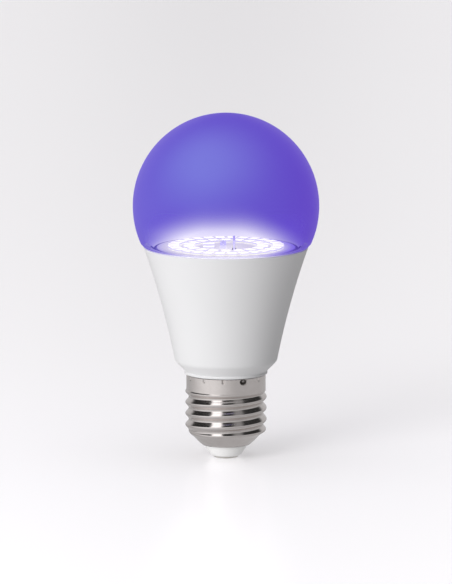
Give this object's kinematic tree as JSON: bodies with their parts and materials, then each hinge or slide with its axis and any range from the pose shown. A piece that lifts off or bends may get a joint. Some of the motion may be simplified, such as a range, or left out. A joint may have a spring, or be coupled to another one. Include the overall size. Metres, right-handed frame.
{
  "type": "smart light bulb",
  "caption": "Wireless LED lamp with a translucent violet globe over a ring board of LEDs, a flared white housing and a screw cap.",
  "frame": {"origin": "centre of the centre contact's flat lower face, the bulb's lowest point", "axes": "+Z along the bulb's axis, from the screw cap to the top of the globe; -Y is the front, +X to the right seen from the front"},
  "size_m": [0.0598, 0.0598, 0.1116],
  "materials": {
    "globe": "translucent violet-blue polycarbonate, smooth",
    "seal": "cured silicone bead",
    "housing": "white, fine satin moulded surface",
    "cap_metal": "bright nickel plate on rolled sheet",
    "cap_plug": "white moulded plug",
    "contact": "nickel-plated, slightly worn",
    "heat_sink": "pressed sheet, bare",
    "thermal_pad": "soft filled pad",
    "board_mask": "white solder mask on aluminium",
    "led_package": "white LED packages with clear fill, lit",
    "sleeve": "white insulating plastic",
    "circuit_board": "green glass-epoxy board",
    "radio_board": "glass-epoxy board under white solder mask",
    "header_plastic": "white moulded pin strip",
    "tinned_metal": "tinned metal",
    "can_sleeve": "dark sleeve on an aluminium can",
    "ferrite": "sintered ferrite, matt",
    "winding": "enamelled copper wire",
    "chip": "black moulding compound",
    "film": "yellow film capacitor case",
    "varistor": "blue dipped coating",
    "resistor": "green-grey cement coating",
    "insulation": "white silicone insulation"
  },
  "bodies": {
    "root": {"globe": "globe", "globe_seal": "seal", "housing": "housing", "screw_shell": "cap_metal", "cap_insulator": "cap_plug", "centre_contact": "contact", "heat_sink": "heat_sink", "thermal_pad": "thermal_pad", "led_board": "board_mask", "led_string_outer": "led_package", "led_string_middle": "led_package", "led_string_inner": "led_package", "driver_sleeve": "sleeve", "driver_board": "circuit_board", "input_capacitor": "can_sleeve", "output_capacitor": "can_sleeve", "transformer_core": "ferrite", "transformer_winding": "winding", "choke_core": "ferrite", "choke_winding": "winding", "fuse_resistor": "resistor", "varistor": "varistor", "bridge_rectifier": "chip", "driver_chip": "chip", "rectifier_diode": "chip", "film_capacitor": "film", "radio_board": "radio_board", "radio_shield": "tinned_metal", "led_header": "header_plastic", "header_pin_1": "tinned_metal", "header_pin_2": "tinned_metal", "header_pin_3": "tinned_metal", "header_pin_4": "tinned_metal", "live_wire": "insulation", "neutral_wire": "tinned_metal"}
  },
  "joints": []
}
